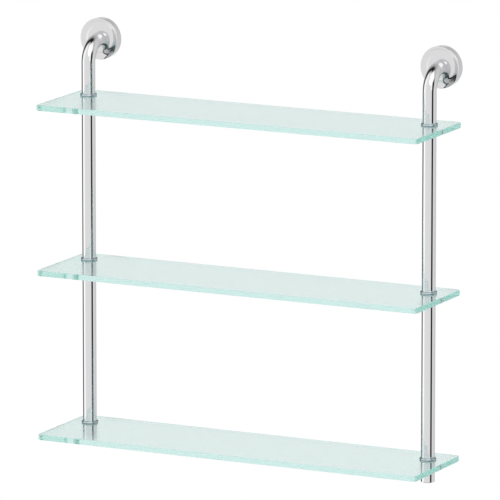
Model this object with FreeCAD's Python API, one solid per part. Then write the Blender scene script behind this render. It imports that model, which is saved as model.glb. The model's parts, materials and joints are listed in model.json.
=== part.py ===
import FreeCAD, Part
import os

# Wall-hung shelf with three glass plates on two chromed posts.
# Millimetres. +X runs right along the wall, +Y into the wall and +Z up.
# The origin is on the wall plane, midway between the centres of the two rosettes.

Vector = FreeCAD.Vector
X_AXIS = Vector(1, 0, 0)
Y_AXIS = Vector(0, 1, 0)
Z_AXIS = Vector(0, 0, 1)
ORIGIN = Vector(0, 0, 0)
SIDES = {"left": -1, "right": 1}
TIERS = ("top", "middle", "low")

# Glass plates
GLASS_LENGTH = 600.0
GLASS_DEPTH = 148.0
GLASS_THICKNESS = 8.0
GLASS_CORNER_RADIUS = 5.0
GLASS_ARRIS = 0.5
GLASS_WALL_GAP = 2.0
SHELF_PITCH = 240.0
POST_INSET = 30.0

# Tubes
TUBE_RADIUS = 10.0
TUBE_WALL = 1.5
BEND_RADIUS = 30.0
ARM_STRAIGHT = 3.8
ARM_DROP = 77.0

# Fits: play round a piece in its seat, between plain thread surfaces, and between glass and its pads
FIT_GAP = 0.1
THREAD_GAP = 0.05
PAD_GAP = 0.05

# Rosettes
ROSETTE_RADIUS = 30.0
ROSETTE_DEPTH = 12.0
ROSETTE_RIM_WALL = 3.0
ROSETTE_FACE_THICKNESS = 3.0
ROSETTE_EDGE_RADIUS = 0.5
ROSETTE_WALL_GAP = 0.3
CREST_MARGIN = 6.2
CHANNEL_DEPTH = 0.7
DISH_DEPTH = 0.35
ARM_SEAT_DEPTH = 0.45

# Wall plates inside the rosettes
PLATE_THICKNESS = 3.0
PLATE_LIP_WALL = 3.0
PLATE_LIP_CLEARANCE = 0.5
PLATE_BORE_CLEARANCE = 3.1
WALL_HOLE_RADIUS = 2.5
COUNTERSINK_WIDTH = 2.0
COUNTERSINK_LAND = 1.0

# Grub screws that lock the rosettes
GRUB_RADIUS = 2.0
GRUB_RECESS = 0.4
GRUB_SOCKET_WIDTH = 2.0
GRUB_SOCKET_DEPTH = 1.2

# Arm screws and plugs
ARM_SCREW_RADIUS = 3.0
ARM_SCREW_HEAD_RADIUS = 5.0
ARM_SCREW_HEAD_HEIGHT = 3.2
ARM_SCREW_SOCKET_WIDTH = 4.0
ARM_SCREW_SOCKET_DEPTH = 1.8
ARM_SCREW_GRIP = 10.0
ARM_WASHER_RADIUS = 9.0
ARM_WASHER_THICKNESS = 1.6
PLUG_NOSE_WALL = 1.5
PLUG_NOSE_LENGTH = 8.0

# Clamped joints at the plates
STUD_RADIUS = 3.0
STUD_GRIP = 13.0
STUD_CHAMFER = 0.5
INSERT_LENGTH = 16.0
BUSH_WALL = 1.8
BUSH_FLANGE = 0.6
BUSH_FOOT_GAP = 0.4
WASHER_THICKNESS = 0.6
COLLAR_WALL = 1.8
COLLAR_WEB = 1.2
COLLAR_SEAT_DEPTH = 0.95
COLLAR_LIFT = 0.1
COLLAR_BELLY = 1.2
COLLAR_FOOT_INSET = 0.4
COLLAR_TOP_INSET = 0.4
END_NUT_FLOOR = 7.35
END_NUT_CHAMFER = 0.6

# Places worked out from the sizes above
TUBE_BORE = TUBE_RADIUS - TUBE_WALL
SEAT_RADIUS = TUBE_RADIUS + FIT_GAP
FILLER_RADIUS = TUBE_BORE - FIT_GAP
COLLAR_RADIUS = SEAT_RADIUS + COLLAR_WALL
STUD_BORE = STUD_RADIUS + THREAD_GAP
SLEEVE_BORE = STUD_RADIUS + FIT_GAP
SLEEVE_RADIUS = SLEEVE_BORE + BUSH_WALL
GLASS_HOLE_RADIUS = SLEEVE_RADIUS + FIT_GAP
SEAT_MOUTH = ROSETTE_DEPTH - DISH_DEPTH
ARM_START = SEAT_MOUTH - ARM_SEAT_DEPTH
BEND_START = ARM_START + ARM_STRAIGHT
POST_WALL_DISTANCE = BEND_START + BEND_RADIUS
POST_X = GLASS_LENGTH / 2 - POST_INSET
FLANGE_TOP = PAD_GAP + BUSH_FLANGE
TUBE_LIFT = FLANGE_TOP + COLLAR_WEB
COLLAR_HEIGHT = TUBE_LIFT + COLLAR_SEAT_DEPTH
TUBE_DROP = GLASS_THICKNESS + PAD_GAP + WASHER_THICKNESS
END_NUT_BORE_DEPTH = STUD_GRIP + STUD_RADIUS
END_NUT_LENGTH = END_NUT_BORE_DEPTH + END_NUT_FLOOR
FACE_BACK = ROSETTE_DEPTH - ROSETTE_FACE_THICKNESS
PLATE_RADIUS = ROSETTE_RADIUS - ROSETTE_RIM_WALL - FIT_GAP
PLATE_BORE = ARM_WASHER_RADIUS + PLATE_BORE_CLEARANCE
PLATE_LIP_TOP = FACE_BACK - PLATE_LIP_CLEARANCE
WALL_HOLE_OFFSET = (PLATE_BORE + PLATE_RADIUS - PLATE_LIP_WALL) / 2
GRUB_DISTANCE = (PLATE_THICKNESS + PLATE_LIP_TOP) / 2
CUT_EXTRA = 1.0
HEX_CORNERS = 6


def plate_top(tier):
    """Height of a plate's top face."""
    return -ARM_DROP - SHELF_PITCH * TIERS.index(tier)


def out_from_wall(distance, height=0.0):
    """Point in the plane of a post, at a distance from the wall."""
    return Vector(0, -distance, height)


def on_post(height):
    """Point on a post's axis."""
    return out_from_wall(POST_WALL_DISTANCE, height)


def segments(points):
    """Straight edges through (radius, height) points, in the XZ plane."""
    corners = [Vector(radius, 0, height) for radius, height in points]
    return [Part.makeLine(a, b) for a, b in zip(corners, corners[1:])]


def turned(edges):
    """Solid turned about Z from a closed outline in the XZ plane."""
    outline = Part.Wire(Part.__sortEdges__(edges))
    return Part.Face(outline).revolve(ORIGIN, Z_AXIS, 360)


def turned_points(points):
    """Solid turned about Z from the corners of its outline."""
    return turned(segments(points + points[:1]))


def ring(outer, inner, height):
    """Plain ring standing on the XY plane."""
    return turned_points([(inner, 0), (outer, 0), (outer, height), (inner, height)])


def facing_out(shape):
    """Turn a piece built along Z so that it points out of the wall, along -Y."""
    shape.rotate(ORIGIN, X_AXIS, 90)
    return shape


def raised(shape, height):
    """Move a piece built along Z to a height on its post."""
    shape.translate(on_post(height))
    return shape


def hex_socket(width, depth, height):
    """Six-sided recess, with its mouth at a height on the Z axis."""
    corner = Vector(width / 3 ** 0.5, 0, height - depth)
    corners = []
    for step in range(HEX_CORNERS + 1):
        turn = FreeCAD.Rotation(Z_AXIS, 360 / HEX_CORNERS * step)
        corners.append(turn.multVec(corner))
    outline = Part.Face(Part.makePolygon(corners))
    return outline.extrude(Z_AXIS * (depth + CUT_EXTRA))


def glass(tier):
    """Plate with rounded corners, eased edges and a hole for each post."""
    size_z = Vector(0, 0, GLASS_THICKNESS)
    corner = Vector(-GLASS_LENGTH / 2, -GLASS_WALL_GAP - GLASS_DEPTH, plate_top(tier)) - size_z
    block = Part.makeBox(GLASS_LENGTH, GLASS_DEPTH, GLASS_THICKNESS, corner)
    uprights = [edge for edge in block.Edges if abs(edge.tangentAt(edge.FirstParameter).z) > 0.5]
    plate = block.makeFillet(GLASS_CORNER_RADIUS, uprights)
    flats = [face for face in plate.Faces if abs(face.normalAt(0, 0).z) > 0.5]
    plate = plate.makeChamfer(GLASS_ARRIS, [edge for face in flats for edge in face.Edges])
    for side in SIDES.values():
        foot = on_post(plate_top(tier) - GLASS_THICKNESS) + X_AXIS * (side * POST_X)
        plate = plate.cut(Part.makeCylinder(GLASS_HOLE_RADIUS, GLASS_THICKNESS, foot))
    return plate


def level_arc(level, far):
    """Arc that starts level at one (radius, height) point and runs to another."""
    run = far[0] - level[0]
    rise = far[1] - level[1]
    radius = (run ** 2 + rise ** 2) / (2 * rise)
    half_run = run * 0.5
    half_rise = radius - (radius ** 2 - half_run ** 2) ** 0.5 * (1 if radius > 0 else -1)
    points = [level, (level[0] + half_run, level[1] + half_rise), far]
    return Part.Arc(*[Vector(r, 0, h) for r, h in points]).toShape()


def soft_step(start, end):
    """Two arcs that run level at both ends, from one (radius, height) point to another."""
    middle = ((start[0] + end[0]) / 2, (start[1] + end[1]) / 2)
    return [level_arc(start, middle), level_arc(end, middle)]


def belly_arc(widest, end):
    """Arc that starts upright at its widest (radius, height) point and runs to its end."""
    inset = widest[0] - end[0]
    rise = end[1] - widest[1]
    radius = (inset ** 2 + rise ** 2) / (2 * inset)
    start, finish = (Vector(r, 0, h) for r, h in (widest, end))
    centre = start - X_AXIS * radius
    middle = centre + (start + finish - centre * 2).normalize() * radius
    return Part.Arc(start, middle, finish).toShape()


def rosette():
    """Cup over the wall plate: shallow ring channel, and a crest that falls gently to the arm's seat."""
    edge_bottom = ROSETTE_DEPTH - ROSETTE_EDGE_RADIUS
    edge_inside = ROSETTE_RADIUS - ROSETTE_EDGE_RADIUS
    edge_sag = ROSETTE_EDGE_RADIUS * (1 - 0.5 ** 0.5)
    crest = (TUBE_RADIUS + CREST_MARGIN, ROSETTE_DEPTH)
    groove = ((edge_inside + crest[0]) / 2, ROSETTE_DEPTH - CHANNEL_DEPTH)
    seat_mouth = (SEAT_RADIUS, SEAT_MOUTH)
    screw_hole = ARM_SCREW_RADIUS + FIT_GAP
    rim_inside = ROSETTE_RADIUS - ROSETTE_RIM_WALL
    edge_points = [
        Vector(ROSETTE_RADIUS, 0, edge_bottom),
        Vector(ROSETTE_RADIUS - edge_sag, 0, ROSETTE_DEPTH - edge_sag),
        Vector(edge_inside, 0, ROSETTE_DEPTH),
    ]
    edges = [Part.Arc(*edge_points).toShape()]
    edges += soft_step((edge_inside, ROSETTE_DEPTH), groove)
    edges += soft_step(groove, crest)
    edges.append(level_arc(crest, seat_mouth))
    edges += segments([
        seat_mouth,
        (SEAT_RADIUS, ARM_START),
        (screw_hole, ARM_START),
        (screw_hole, FACE_BACK),
        (rim_inside, FACE_BACK),
        (rim_inside, ROSETTE_WALL_GAP),
        (ROSETTE_RADIUS, ROSETTE_WALL_GAP),
        (ROSETTE_RADIUS, edge_bottom),
    ])
    cup = facing_out(turned(edges))
    rim_mouth = out_from_wall(GRUB_DISTANCE, -ROSETTE_RADIUS - CUT_EXTRA)
    hole_length = ROSETTE_RIM_WALL + 2 * CUT_EXTRA
    return cup.cut(Part.makeCylinder(GRUB_RADIUS + THREAD_GAP, hole_length, rim_mouth))


def wall_plate():
    """Ring plate with an upstanding lip and two countersunk holes for wall screws."""
    lip_inside = PLATE_RADIUS - PLATE_LIP_WALL
    plate = turned_points([
        (PLATE_BORE, 0),
        (PLATE_RADIUS, 0),
        (PLATE_RADIUS, PLATE_LIP_TOP),
        (lip_inside, PLATE_LIP_TOP),
        (lip_inside, PLATE_THICKNESS),
        (PLATE_BORE, PLATE_THICKNESS),
    ])
    screw_path = turned_points([
        (0, 0),
        (WALL_HOLE_RADIUS, 0),
        (WALL_HOLE_RADIUS, COUNTERSINK_LAND),
        (WALL_HOLE_RADIUS + COUNTERSINK_WIDTH, PLATE_THICKNESS),
        (0, PLATE_THICKNESS),
    ])
    for offset in (-WALL_HOLE_OFFSET, WALL_HOLE_OFFSET):
        plate = plate.cut(screw_path.translated(Vector(0, offset, 0)))
    return facing_out(plate)


def grub_screw():
    """Headless screw through the bottom of the rosette's rim, against the wall plate's lip."""
    length = ROSETTE_RADIUS - GRUB_RECESS - PLATE_RADIUS
    screw = Part.makeCylinder(GRUB_RADIUS, length)
    screw = screw.cut(hex_socket(GRUB_SOCKET_WIDTH, GRUB_SOCKET_DEPTH, length))
    screw.rotate(ORIGIN, X_AXIS, 180)
    screw.translate(out_from_wall(GRUB_DISTANCE, -PLATE_RADIUS))
    return screw


def arm_washer():
    """Steel washer behind the rosette's face."""
    washer = ring(ARM_WASHER_RADIUS, ARM_SCREW_RADIUS + FIT_GAP, ARM_WASHER_THICKNESS)
    washer.translate(Vector(0, 0, FACE_BACK - ARM_WASHER_THICKNESS))
    return facing_out(washer)


def arm_screw():
    """Socket screw from behind the rosette into the plug of the arm."""
    head_top = FACE_BACK - ARM_WASHER_THICKNESS
    head_bottom = head_top - ARM_SCREW_HEAD_HEIGHT
    tip = ARM_START + ARM_SCREW_GRIP
    screw = turned_points([
        (0, -head_bottom),
        (ARM_SCREW_HEAD_RADIUS, -head_bottom),
        (ARM_SCREW_HEAD_RADIUS, -head_top),
        (ARM_SCREW_RADIUS, -head_top),
        (ARM_SCREW_RADIUS, -tip),
        (0, -tip),
    ])
    screw = screw.cut(hex_socket(ARM_SCREW_SOCKET_WIDTH, ARM_SCREW_SOCKET_DEPTH, -head_bottom))
    screw.rotate(ORIGIN, X_AXIS, -90)
    return screw


def arm_plug():
    """Stepped plug in the arm's wall end: full width in the straight run, slimmer inside the bend."""
    bore = ARM_SCREW_RADIUS + THREAD_GAP
    nose = bore + PLUG_NOSE_WALL
    plug = turned_points([
        (bore, ARM_START),
        (FILLER_RADIUS, ARM_START),
        (FILLER_RADIUS, BEND_START),
        (nose, BEND_START),
        (nose, BEND_START + PLUG_NOSE_LENGTH),
        (bore, BEND_START + PLUG_NOSE_LENGTH),
    ])
    return facing_out(plug)


def bent_bar(radius):
    """Round bar out from the wall, round the bend and down to the collar on the top plate."""
    disc = Part.Face(Part.Wire(Part.makeCircle(radius, out_from_wall(BEND_START), Y_AXIS)))
    bend = disc.revolve(out_from_wall(BEND_START, -BEND_RADIUS), X_AXIS, 90)
    out = Part.makeCylinder(radius, ARM_STRAIGHT, out_from_wall(ARM_START), -Y_AXIS)
    foot = plate_top("top") + TUBE_LIFT
    down = Part.makeCylinder(radius, -BEND_RADIUS - foot, on_post(foot))
    return out.fuse([bend, down]).removeSplitter()


def bent_arm():
    """Hollow bent tube that carries the post."""
    return bent_bar(TUBE_RADIUS).cut(bent_bar(TUBE_BORE))


def post_span(upper):
    """Heights of the foot and head of the tube under a plate."""
    head = plate_top(upper) - TUBE_DROP
    lower = TIERS[TIERS.index(upper) + 1]
    return plate_top(lower) + TUBE_LIFT, head


def post(upper):
    """Hollow tube between two plates."""
    foot, head = post_span(upper)
    return raised(ring(TUBE_RADIUS, TUBE_BORE, head - foot), foot)


def insert(foot):
    """Threaded filler in a tube's end, with its lower face at a height."""
    return raised(ring(FILLER_RADIUS, STUD_BORE, INSERT_LENGTH), foot)


def collar(tier):
    """Ring on a plate: the tube's foot sits in its top, the bush's flange in its underside."""
    belly = (COLLAR_RADIUS, COLLAR_BELLY)
    foot = (COLLAR_RADIUS - COLLAR_FOOT_INSET, COLLAR_LIFT)
    top = (COLLAR_RADIUS - COLLAR_TOP_INSET, COLLAR_HEIGHT)
    edges = [belly_arc(belly, foot), belly_arc(belly, top)]
    edges += segments([
        top,
        (SEAT_RADIUS, COLLAR_HEIGHT),
        (SEAT_RADIUS, TUBE_LIFT),
        (SLEEVE_BORE, TUBE_LIFT),
        (SLEEVE_BORE, FLANGE_TOP),
        (SEAT_RADIUS, FLANGE_TOP),
        (SEAT_RADIUS, COLLAR_LIFT),
        foot,
    ])
    return raised(turned(edges), plate_top(tier))


def bush(tier):
    """Top-hat sleeve in the plate's hole, with its flange under the collar."""
    foot = BUSH_FOOT_GAP - GLASS_THICKNESS
    shape = turned_points([
        (SLEEVE_BORE, foot),
        (SLEEVE_RADIUS, foot),
        (SLEEVE_RADIUS, PAD_GAP),
        (TUBE_RADIUS, PAD_GAP),
        (TUBE_RADIUS, FLANGE_TOP),
        (SLEEVE_BORE, FLANGE_TOP),
    ])
    return raised(shape, plate_top(tier))


def washer(tier):
    """Thin disc as wide as the collar, between a plate and the tube or nut below it."""
    shape = ring(COLLAR_RADIUS, SLEEVE_BORE, WASHER_THICKNESS)
    return raised(shape, plate_top(tier) - TUBE_DROP)


def stud(tier):
    """Threaded rod from the tube above a plate to the tube or nut below it."""
    top = TUBE_LIFT + STUD_GRIP
    bottom = -TUBE_DROP - STUD_GRIP
    shape = turned_points([
        (0, bottom),
        (STUD_RADIUS - STUD_CHAMFER, bottom),
        (STUD_RADIUS, bottom + STUD_CHAMFER),
        (STUD_RADIUS, top - STUD_CHAMFER),
        (STUD_RADIUS - STUD_CHAMFER, top),
        (0, top),
    ])
    return raised(shape, plate_top(tier))


def end_nut():
    """Closed round nut under the lowest plate, as wide as the posts."""
    shape = turned_points([
        (0, -END_NUT_LENGTH),
        (TUBE_RADIUS - END_NUT_CHAMFER, -END_NUT_LENGTH),
        (TUBE_RADIUS, END_NUT_CHAMFER - END_NUT_LENGTH),
        (TUBE_RADIUS, 0),
        (STUD_BORE, 0),
        (STUD_BORE, -END_NUT_BORE_DEPTH),
        (0, -END_NUT_BORE_DEPTH),
    ])
    return raised(shape, plate_top(TIERS[-1]) - TUBE_DROP)


def side_pieces():
    """All pieces of one side, by name, in the plane of its post."""
    pieces = {
        "wall_plate": wall_plate(),
        "rosette": rosette(),
        "grub_screw": grub_screw(),
        "arm_washer": arm_washer(),
        "arm_screw": arm_screw(),
        "arm_plug": arm_plug(),
        "bent_arm": bent_arm(),
        "arm_insert": insert(plate_top("top") + TUBE_LIFT),
        "end_nut": end_nut(),
    }
    for name, upper in (("upper_post", "top"), ("lower_post", "middle")):
        foot, head = post_span(upper)
        pieces[name] = post(upper)
        pieces[name + "_foot_insert"] = insert(foot)
        pieces[name + "_head_insert"] = insert(head - INSERT_LENGTH)
    for tier in TIERS:
        pieces[tier + "_collar"] = collar(tier)
        pieces[tier + "_bush"] = bush(tier)
        pieces[tier + "_stud"] = stud(tier)
        pieces[tier + "_washer"] = washer(tier)
    return pieces


def all_pieces():
    """Every piece of the shelf, by node name."""
    pieces = {tier + "_glass": glass(tier) for tier in TIERS}
    for name, shape in side_pieces().items():
        for side, sign in SIDES.items():
            pieces[side + "_" + name] = shape.translated(X_AXIS * (sign * POST_X))
    return pieces


os.makedirs("parts", exist_ok=True)
for node, piece in all_pieces().items():
    piece.exportStep("parts/" + node + ".step")
    print(node, "valid" if piece.isValid() else "NOT VALID", round(piece.Volume, 1))
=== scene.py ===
import json
import math
import bpy
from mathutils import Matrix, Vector

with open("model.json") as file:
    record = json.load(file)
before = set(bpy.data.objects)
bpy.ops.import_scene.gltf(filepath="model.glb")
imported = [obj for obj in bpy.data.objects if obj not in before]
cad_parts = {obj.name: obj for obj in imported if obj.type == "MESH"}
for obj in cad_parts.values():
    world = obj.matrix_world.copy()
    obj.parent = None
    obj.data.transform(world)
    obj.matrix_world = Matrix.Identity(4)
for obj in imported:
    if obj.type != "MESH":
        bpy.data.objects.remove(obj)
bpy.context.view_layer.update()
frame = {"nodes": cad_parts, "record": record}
scene = bpy.context.scene

# Camera: the photograph's view, in degrees, metres and pixels of its square frame
CAMERA_AZIMUTH = 26.598
CAMERA_ELEVATION = 11.232
CAMERA_DISTANCE = 10.2336
CAMERA_TARGET = Vector((0.00539, -0.078, -0.27283))
CAMERA_CLIP_END = 100.0
FOCAL_PIXELS = 7217.1
FRAME_PIXELS = 500
SENSOR_WIDTH = 36.0

# Bounces of light, enough for the inside of thick glass
LIGHT_BOUNCES = 96

# Glass: refraction and roughness by place, with the depths in metres where the back part begins
GLASS_IOR = 1.52
FRONT_ROUGHNESS = 0.06
BACK_ROUGHNESS = 0.35
END_ROUGHNESS = 0.05
CORNER_ROUGHNESS = 0.40
UNDERSIDE_ROUGHNESS = 0.15
BACK_ZONE = (-0.10, -0.05)

# Parts of a plate by its normal: upright share at the flat faces, X share at the ends, X times Y at corners
FLAT_CHANGE = (0.75, 0.95)
END_CHANGE = (0.4, 0.9)
CORNER_CHANGE = (0.1, 0.4)

# Tints of the plates' faces, of light that passes an end, and of light that an end sends back
GLASS_TINTS = ((0.765, 0.893, 0.880), (0.775, 0.897, 0.884))
GLASS_DRIFT_SCALE = 6.0
END_CLEAR = (0.860, 0.905, 0.907)
END_RETURN = (0.80, 0.92, 0.88)

# Colour that the glass takes in depth, and how fast per metre
DEPTH_COLOUR = (0.0, 0.750, 0.631, 1)
DEPTH_DENSITY = 1.21

# Metals: two tones, range of roughness and scale of the drift between the tones
CHROME = ((0.685, 0.685, 0.695), (0.700, 0.700, 0.708), (0.012, 0.030), 9.0)
COLLAR_PLATE = ((0.50, 0.565, 0.605), (0.54, 0.605, 0.645), (0.36, 0.44), 50.0)
ZINC_STEEL = ((0.50, 0.51, 0.53), (0.62, 0.63, 0.65), (0.25, 0.45), 80.0)
BRASS = ((0.70, 0.54, 0.28), (0.80, 0.64, 0.36), (0.15, 0.30), 80.0)
COLLAR_EDGE_TINT = (0.12, 0.15, 0.17, 1)

# Polish of metal: how much finer than the drift of tone, its detail, and its stretch along the height
POLISH_FINENESS = 8
POLISH_DETAIL = 4.0
POLISH_STRETCH = (1, 1, 0.1)

# Moulded pieces: two tones and roughness, with one scale of drift
NYLON = ((0.80, 0.80, 0.78), (0.85, 0.85, 0.83), 0.5)
RUBBER = ((0.28, 0.29, 0.30), (0.33, 0.34, 0.35), 0.8)
MOULDED_DRIFT_SCALE = 60.0

# Studio light: brightness by azimuth in degrees, 0 towards the viewer's side and 90 to the right
PIT_BANDS = (
    (-180, 0.85), (-126, 0.85), (-118, 0.30), (-92, 0.25), (-84, 0.85), (64, 0.90), (72, 0.02),
    (110, 0.02), (120, 0.80), (180, 0.85),
)
LOW_BANDS = (
    (-180, 0.78), (-160, 1.00), (-132, 1.00), (-120, 0.14), (-84.5, 0.10), (-78.5, 1.45), (-52, 1.42),
    (-46, 1.20), (-36, 1.02), (59.5, 1.00), (62.5, 0.02), (88, 0.02), (91.5, 0.95), (108, 0.95),
    (130, 0.86), (160, 0.76), (180, 0.78),
)
MID_BANDS = (
    (-180, 0.66), (-164, 0.66), (-158, 0.80), (-140, 0.80), (-124, 0.72), (-112, 0.34), (-104, 0.08),
    (-88, 0.08), (-76, 1.10), (-66, 1.45), (-52, 1.42), (-46, 1.20), (-36, 1.02), (36, 1.00), (46, 1.35),
    (59, 1.35), (66, 0.02), (88, 0.02), (97, 0.85), (106, 0.92), (120, 0.86), (150, 0.78), (180, 0.66),
)
HIGH_BANDS = (
    (-180, 0.62), (-135, 0.62), (-124, 0.52), (-112, 0.22), (-104, 0.02), (-88, 0.01), (-80, 0.27),
    (-70, 1.05), (-62, 1.35), (-50, 1.30), (-40, 1.12), (-20, 1.05), (40, 1.05), (48, 1.40), (70, 1.40),
    (76, 1.25), (82, 0.92), (90, 0.66), (97, 0.65), (105, 0.83), (114, 0.82), (130, 0.75), (150, 0.72),
    (165, 0.68), (180, 0.62),
)
TOP_BANDS = (
    (-180, 0.62), (-165, 0.52), (-145, 0.42), (-132, 0.16), (-120, 0.03), (-92, 0.01), (-80, 0.10),
    (-72, 0.33), (-56, 0.86), (-36, 0.88), (-20, 1.00), (0, 1.20), (20, 1.35), (63, 1.45), (74, 1.25),
    (84, 0.92), (95, 0.50), (107, 0.42), (132, 0.54), (151, 0.58), (172, 0.62), (180, 0.62),
)

# Elevations in degrees where one set of bands turns into the next, and where ground and ceiling begin
BAND_CHANGES = ((-32.0, -20.0), (-4.0, 4.0), (17.0, 33.0), (50.0, 64.0))
CEILING_CHANGE = (66.0, 83.0)
CEILING_LEVEL = 0.02
GROUND_CHANGE = (-75.0, -42.0)
GROUND_LEVEL = 0.10

# Counts of mirrors after which rays that leave through glass see the studio: always, or if they are steep
FEW_MIRRORS = (1, 2)
MORE_MIRRORS = (3, 5)
STEEP_CHANGE = (-45.0, -58.0)
COUNT_MARGIN = 0.1

# Round soft box up at the right: azimuth, elevation, angles where its edge starts and ends, brightness
BOX_AZIMUTH = 34.0
BOX_ELEVATION = 41.0
BOX_EDGE = (24.0, 20.0)
BOX_LEVEL = 1.9


def towards(azimuth, elevation):
    """Unit vector to an azimuth and an elevation in degrees."""
    turn = math.radians(azimuth)
    level = math.cos(math.radians(elevation))
    return Vector((math.sin(turn) * level, -math.cos(turn) * level, math.sin(math.radians(elevation))))


def node(tree, kind, **settings):
    """New shader node with its settings."""
    made = tree.nodes.new("ShaderNode" + kind)
    for name, value in settings.items():
        setattr(made, name, value)
    return made


def fill(tree, sockets, values):
    """Give sockets their values: numbers are set, and sockets are linked."""
    for socket, value in zip(sockets, values):
        if isinstance(value, (int, float)):
            socket.default_value = value
        else:
            tree.links.new(value, socket)


def math_node(tree, operation, *values):
    """Math node on sockets or numbers; gives its result socket."""
    made = node(tree, "Math", operation=operation)
    fill(tree, made.inputs, values)
    return made.outputs[0]


def smooth_range(tree, value, low, high):
    """Smooth rise from 0 to 1 between two levels of a socket."""
    made = node(tree, "MapRange", interpolation_type="SMOOTHSTEP")
    tree.links.new(value, made.inputs["Value"])
    made.inputs["From Min"].default_value = low
    made.inputs["From Max"].default_value = high
    return made.outputs["Result"]


def mix_values(tree, share, first, second):
    """Blend of two numbers, from the first at 0 to the second at 1."""
    made = node(tree, "Mix", data_type="FLOAT")
    fill(tree, (made.inputs[0], made.inputs[2], made.inputs[3]), (share, first, second))
    return made.outputs[0]


def counted(tree, depth, first, last):
    """1 where a count of mirrors lies between two counts, and 0 elsewhere."""
    reach = (last - first) / 2 + COUNT_MARGIN
    return math_node(tree, "COMPARE", depth, (first + last) / 2, reach)


def band_ramp(tree, azimuth_share, bands):
    """Brightness from the azimuth, as a ramp over a full turn."""
    ramp = node(tree, "ValToRGB")
    stops = ramp.color_ramp.elements
    while len(stops) < len(bands):
        stops.new(1.0)
    for stop, (azimuth, level) in zip(stops, bands):
        stop.position = (azimuth + 180) / 360
        stop.color = (level, level, level, 1)
    tree.links.new(azimuth_share, ramp.inputs["Fac"])
    return ramp.outputs["Color"]


def soft_box(tree, direction):
    """Share of the round soft box in a direction, with a narrow soft edge."""
    nearness = node(tree, "VectorMath", operation="DOT_PRODUCT")
    tree.links.new(direction, nearness.inputs[0])
    nearness.inputs[1].default_value = towards(BOX_AZIMUTH, BOX_ELEVATION)
    edge = [math.cos(math.radians(angle)) for angle in BOX_EDGE]
    return smooth_range(tree, nearness.outputs["Value"], *edge)


def studio_light(tree, direction, elevation):
    """Brightness that mirrored rays see: bands by azimuth and height, ground, ceiling and soft box."""
    split = node(tree, "SeparateXYZ")
    tree.links.new(direction, split.inputs[0])
    forward = math_node(tree, "MULTIPLY", split.outputs["Y"], -1.0)
    azimuth = math_node(tree, "ARCTAN2", split.outputs["X"], forward)
    share = math_node(tree, "ADD", math_node(tree, "DIVIDE", azimuth, 2 * math.pi), 0.5)
    bands = band_ramp(tree, share, PIT_BANDS)
    for change, higher in zip(BAND_CHANGES, (LOW_BANDS, MID_BANDS, HIGH_BANDS, TOP_BANDS)):
        above = smooth_range(tree, elevation, *change)
        bands = mix_values(tree, above, bands, band_ramp(tree, share, higher))
    grounded = mix_values(tree, smooth_range(tree, elevation, *GROUND_CHANGE), GROUND_LEVEL, bands)
    roofed = mix_values(tree, smooth_range(tree, elevation, *CEILING_CHANGE), grounded, CEILING_LEVEL)
    return mix_values(tree, soft_box(tree, direction), roofed, BOX_LEVEL)


def mirror_rays(tree, elevation):
    """1 for rays that see the studio light, and 0 for those that see plain white."""
    path = node(tree, "LightPath")
    depth = path.outputs["Glossy Depth"]
    clear = math_node(tree, "SUBTRACT", 1.0, path.outputs["Is Transmission Ray"])
    steep = smooth_range(tree, elevation, *STEEP_CHANGE)
    downwards = math_node(tree, "MULTIPLY", counted(tree, depth, *MORE_MIRRORS), steep)
    through_glass = math_node(tree, "MAXIMUM", counted(tree, depth, *FEW_MIRRORS), downwards)
    seen_mirrored = math_node(tree, "MAXIMUM", clear, through_glass)
    return math_node(tree, "MULTIPLY", path.outputs["Is Glossy Ray"], seen_mirrored)


def studio_world():
    """White surroundings, with the soft boxes and dark gaps that bright metal mirrors."""
    world = bpy.data.worlds.new("studio")
    scene.world = world
    world.use_nodes = True
    tree = world.node_tree
    tree.nodes.clear()
    direction = node(tree, "TexCoord").outputs["Generated"]
    split = node(tree, "SeparateXYZ")
    tree.links.new(direction, split.inputs[0])
    elevation = math_node(tree, "DEGREES", math_node(tree, "ARCSINE", split.outputs["Z"]))
    mirrored = studio_light(tree, direction, elevation)
    level = mix_values(tree, mirror_rays(tree, elevation), 1.0, mirrored)
    background = node(tree, "Background")
    background.inputs["Color"].default_value = (1, 1, 1, 1)
    tree.links.new(level, background.inputs["Strength"])
    output = node(tree, "OutputWorld")
    tree.links.new(background.outputs[0], output.inputs["Surface"])


def principled(name):
    """New material; gives it, its node tree and its shader."""
    material = bpy.data.materials.new(name)
    material.use_nodes = True
    tree = material.node_tree
    return material, tree, tree.nodes["Principled BSDF"]


def noise(tree, scale, detail=2.0, stretch=(1, 1, 1)):
    """Noise over the part's own coordinates; gives a 0 to 1 socket."""
    place = node(tree, "TexCoord").outputs["Object"]
    mapping = node(tree, "Mapping")
    mapping.inputs["Scale"].default_value = stretch
    tree.links.new(place, mapping.inputs["Vector"])
    texture = node(tree, "TexNoise")
    texture.inputs["Scale"].default_value = scale
    texture.inputs["Detail"].default_value = detail
    tree.links.new(mapping.outputs[0], texture.inputs["Vector"])
    return texture.outputs["Fac"]


def two_tones(tree, share, first, second):
    """Colour that drifts between two tones."""
    ramp = node(tree, "ValToRGB")
    ramp.color_ramp.elements[0].color = (*first, 1)
    ramp.color_ramp.elements[1].color = (*second, 1)
    tree.links.new(share, ramp.inputs["Fac"])
    return ramp.outputs["Color"]


def metal(name, first, second, roughness, drift_scale):
    """Plated or turned metal: slight drift of tone and of polish."""
    material, tree, shader = principled(name)
    shader.inputs["Metallic"].default_value = 1.0
    drift = noise(tree, drift_scale)
    tree.links.new(two_tones(tree, drift, first, second), shader.inputs["Base Color"])
    polish = noise(tree, drift_scale * POLISH_FINENESS, POLISH_DETAIL, POLISH_STRETCH)
    tree.links.new(mix_values(tree, polish, *roughness), shader.inputs["Roughness"])
    return material


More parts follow.
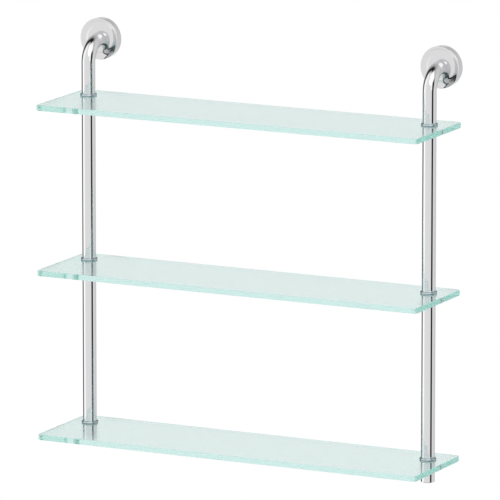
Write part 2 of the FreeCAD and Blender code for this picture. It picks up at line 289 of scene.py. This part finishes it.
def collar_material():
    """Bluish satin plate that mirrors less at a flat angle."""
    material = metal("collar_chrome", *COLLAR_PLATE)
    shader = material.node_tree.nodes["Principled BSDF"]
    shader.inputs["Specular Tint"].default_value = COLLAR_EDGE_TINT
    return material


def moulded(name, first, second, roughness):
    """Moulded nylon or rubber: slight drift of tone."""
    material, tree, shader = principled(name)
    drift = noise(tree, MOULDED_DRIFT_SCALE)
    tree.links.new(two_tones(tree, drift, first, second), shader.inputs["Base Color"])
    shader.inputs["Roughness"].default_value = roughness
    return material


def outward_sign(tree):
    """1 where a ray meets a face from outside, and -1 where it meets it from inside."""
    inside = node(tree, "NewGeometry").outputs["Backfacing"]
    return math_node(tree, "SUBTRACT", 1.0, math_node(tree, "MULTIPLY", inside, 2.0))


def edge_roughness(tree, normal, endness):
    """Roughness round a plate: polished front and ends, softer back edge and corners."""
    turning = math_node(tree, "MULTIPLY", normal.outputs["X"], normal.outputs["Y"])
    cornerness = smooth_range(tree, math_node(tree, "ABSOLUTE", turning), *CORNER_CHANGE)
    place = node(tree, "SeparateXYZ")
    tree.links.new(node(tree, "TexCoord").outputs["Object"], place.inputs[0])
    backness = smooth_range(tree, place.outputs["Y"], *BACK_ZONE)
    long_edge = mix_values(tree, backness, FRONT_ROUGHNESS, BACK_ROUGHNESS)
    straight = mix_values(tree, endness, long_edge, END_ROUGHNESS)
    return mix_values(tree, cornerness, straight, CORNER_ROUGHNESS)


def plate_roughness(tree, normal, endness):
    """Roughness over a plate: clear top, slightly satin underside, and the edges between them."""
    edge = edge_roughness(tree, normal, endness)
    upward = math_node(tree, "MULTIPLY", normal.outputs["Z"], outward_sign(tree))
    downward = math_node(tree, "MULTIPLY", upward, -1.0)
    above = mix_values(tree, smooth_range(tree, upward, *FLAT_CHANGE), edge, 0.0)
    return mix_values(tree, smooth_range(tree, downward, *FLAT_CHANGE), above, UNDERSIDE_ROUGHNESS)


def polished_ends(tree, shader, endness, roughness):
    """Ends of the plates, which send light back greener inside the glass."""
    returned = node(tree, "Fresnel")
    returned.inputs["IOR"].default_value = GLASS_IOR
    inside = node(tree, "NewGeometry").outputs["Backfacing"]
    share = math_node(tree, "MULTIPLY", returned.outputs[0], inside)
    ends = node(tree, "BsdfGlass")
    ends.inputs["IOR"].default_value = GLASS_IOR
    tree.links.new(roughness, ends.inputs["Roughness"])
    tree.links.new(two_tones(tree, share, END_CLEAR, END_RETURN), ends.inputs["Color"])
    mixed = node(tree, "MixShader")
    tree.links.new(endness, mixed.inputs[0])
    tree.links.new(shader.outputs[0], mixed.inputs[1])
    tree.links.new(ends.outputs[0], mixed.inputs[2])
    tree.links.new(mixed.outputs[0], tree.nodes["Material Output"].inputs["Surface"])


def glass_material():
    """Float glass: pale green in depth, with polished edges and a slightly satin underside."""
    material, tree, shader = principled("float_glass")
    shader.inputs["Transmission Weight"].default_value = 1.0
    shader.inputs["IOR"].default_value = GLASS_IOR
    tint = two_tones(tree, noise(tree, GLASS_DRIFT_SCALE), *GLASS_TINTS)
    tree.links.new(tint, shader.inputs["Base Color"])
    normal = node(tree, "SeparateXYZ")
    tree.links.new(node(tree, "NewGeometry").outputs["True Normal"], normal.inputs[0])
    endness = smooth_range(tree, math_node(tree, "ABSOLUTE", normal.outputs["X"]), *END_CHANGE)
    roughness = plate_roughness(tree, normal, endness)
    tree.links.new(roughness, shader.inputs["Roughness"])
    polished_ends(tree, shader, endness, roughness)
    absorption = node(tree, "VolumeAbsorption")
    absorption.inputs["Color"].default_value = DEPTH_COLOUR
    absorption.inputs["Density"].default_value = DEPTH_DENSITY
    tree.links.new(absorption.outputs[0], tree.nodes["Material Output"].inputs["Volume"])
    return material


def dress_nodes():
    """Give every CAD node the material of its slot, and the collars their own plate."""
    finishes = {
        "glass": glass_material(),
        "chrome": metal("chrome", *CHROME),
        "zinc_steel": metal("zinc_steel", *ZINC_STEEL),
        "brass": metal("turned_brass", *BRASS),
        "white_nylon": moulded("white_nylon", *NYLON),
        "grey_rubber": moulded("grey_rubber", *RUBBER),
    }
    collar = collar_material()
    slots = {row["node"]: row["material_slot"] for row in frame["record"]["subparts"]}
    for name, obj in frame["nodes"].items():
        finish = collar if name.endswith("_collar") else finishes[slots[name]]
        for slot in obj.material_slots:
            slot.material = finish


def camera():
    """Camera at the photograph's viewpoint."""
    data = bpy.data.cameras.new("camera")
    obj = bpy.data.objects.new("camera", data)
    scene.collection.objects.link(obj)
    obj.location = CAMERA_TARGET + towards(CAMERA_AZIMUTH, CAMERA_ELEVATION) * CAMERA_DISTANCE
    obj.rotation_euler = (math.radians(90 - CAMERA_ELEVATION), 0, math.radians(CAMERA_AZIMUTH))
    data.sensor_width = SENSOR_WIDTH
    data.lens = SENSOR_WIDTH * FOCAL_PIXELS / FRAME_PIXELS
    data.clip_end = CAMERA_CLIP_END
    scene.camera = obj


def view_and_bounces():
    """Plain view transform, and sharp mirrors with enough bounces."""
    scene.view_settings.view_transform = "Standard"
    scene.cycles.max_bounces = LIGHT_BOUNCES
    scene.cycles.glossy_bounces = LIGHT_BOUNCES
    scene.cycles.transmission_bounces = LIGHT_BOUNCES
    scene.cycles.blur_glossy = 0.0


studio_world()
dress_nodes()
camera()
view_and_bounces()
